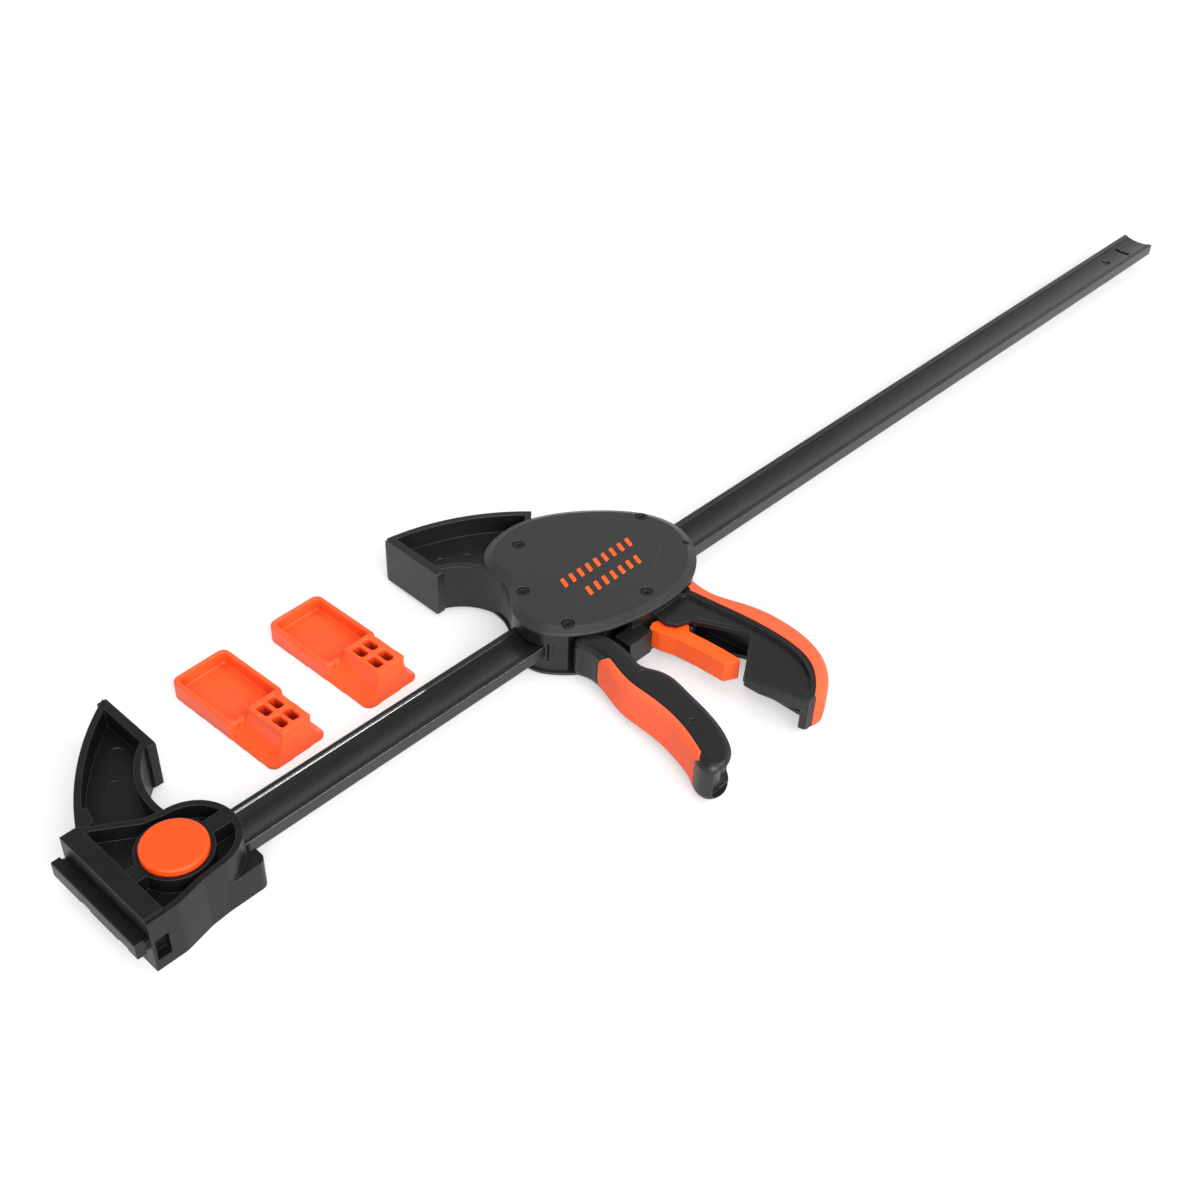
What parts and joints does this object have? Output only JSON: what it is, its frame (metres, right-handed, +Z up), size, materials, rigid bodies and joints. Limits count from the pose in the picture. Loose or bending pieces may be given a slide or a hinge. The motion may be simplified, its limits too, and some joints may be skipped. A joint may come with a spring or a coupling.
{
  "type": "quick release bar clamp",
  "caption": "One-hand bar clamp: a steel bar with a fixed jaw, a sliding head with squeeze lever, release trigger and grip, and soft jaw pads lying beside it.",
  "frame": {"origin": "the fixed jaw's flat underside, on the axis of its quick change button, with the clamp lying on its side", "axes": "+X along the bar towards its free end, +Y towards the jaws, +Z up"},
  "size_m": [0.8013, 0.2274, 0.0316],
  "materials": {
    "bar_steel": "satin black oxide on cold drawn steel",
    "black_nylon": "glass filled nylon, fine spark texture",
    "cover_nylon": "glass filled nylon, satin",
    "button_plastic": "moulded orange acetal, satin",
    "trigger_plastic": "moulded orange acetal, satin",
    "soft_orange": "moulded thermoplastic rubber, matt",
    "pad_orange": "moulded soft vinyl, satin",
    "screw_steel": "black oxide steel",
    "plain_steel": "hardened steel, oiled",
    "spring_steel": "spring wire"
  },
  "bodies": {
    "frame": {"bar": "bar_steel", "fixed_jaw": "black_nylon", "latch_spring": "spring_steel"},
    "button": {"quick_change_button": "button_plastic", "latch_key": "plain_steel"},
    "head": {"sliding_jaw_body": "black_nylon", "front_cover": "cover_nylon", "back_cover": "cover_nylon", "cover_screws": "screw_steel", "grip_overmould": "soft_orange", "lever_pivot_pin": "plain_steel", "trigger_pin": "plain_steel", "brake_spring": "spring_steel", "drive_spring": "spring_steel"},
    "lever": {"lever_body": "black_nylon", "lever_overmould": "soft_orange"},
    "drive": {"drive_plate_1": "plain_steel", "drive_plate_2": "plain_steel"},
    "brake": {"brake_plate": "plain_steel"},
    "trigger": {"release_trigger": "trigger_plastic"},
    "loose_pad_1": {"fixed_jaw_pad": "pad_orange"},
    "loose_pad_2": {"sliding_jaw_pad": "pad_orange"}
  },
  "joints": [
    {"name": "button_press", "type": "slide", "parent": "frame", "child": "button", "axis": [0, 0, -1], "range_m": [0, 0.004], "stiffness_N_per_m": 900, "deforming": ["latch_spring"]},
    {"name": "head_slide", "type": "slide", "parent": "frame", "child": "head", "axis": [1, 0, 0], "range_m": [-0.032, 0.44]},
    {"name": "lever_squeeze", "type": "hinge", "parent": "head", "child": "lever", "pos_m": [0.2203, 0.02, 0.015], "axis": [0, 0, 1], "range_deg": [0, 12], "stiffness_Nm_per_rad": 1.2, "springref_deg": -2.86},
    {"name": "drive_stroke", "type": "slide", "parent": "head", "child": "drive", "axis": [1, 0, 0], "range_m": [0, 0.0075], "deforming": ["drive_spring"]},
    {"name": "trigger_pull", "type": "hinge", "parent": "head", "child": "trigger", "pos_m": [0.2487, -0.041, 0.015], "axis": [0, 0, 1], "range_deg": [0, 12], "stiffness_Nm_per_rad": 0.25, "springref_deg": -2.86},
    {"name": "brake_tip", "type": "hinge", "parent": "head", "child": "brake", "pos_m": [0.2603, 0.022, 0.015], "axis": [0, 0, 1], "range_deg": [0, 1.5]},
    {"name": "pad_1_lift", "type": "slide", "parent": "frame", "child": "loose_pad_1", "axis": [0, 0, 1], "range_m": [0, 0.08]},
    {"name": "pad_2_lift", "type": "slide", "parent": "frame", "child": "loose_pad_2", "axis": [0, 0, 1], "range_m": [0, 0.08]}
  ],
  "couplings": [
    {"joint": "drive_stroke", "follows": "lever_squeeze", "m_per_rad": 0.034},
    {"joint": "brake_tip", "follows": "trigger_pull", "ratio": 0.11}
  ]
}
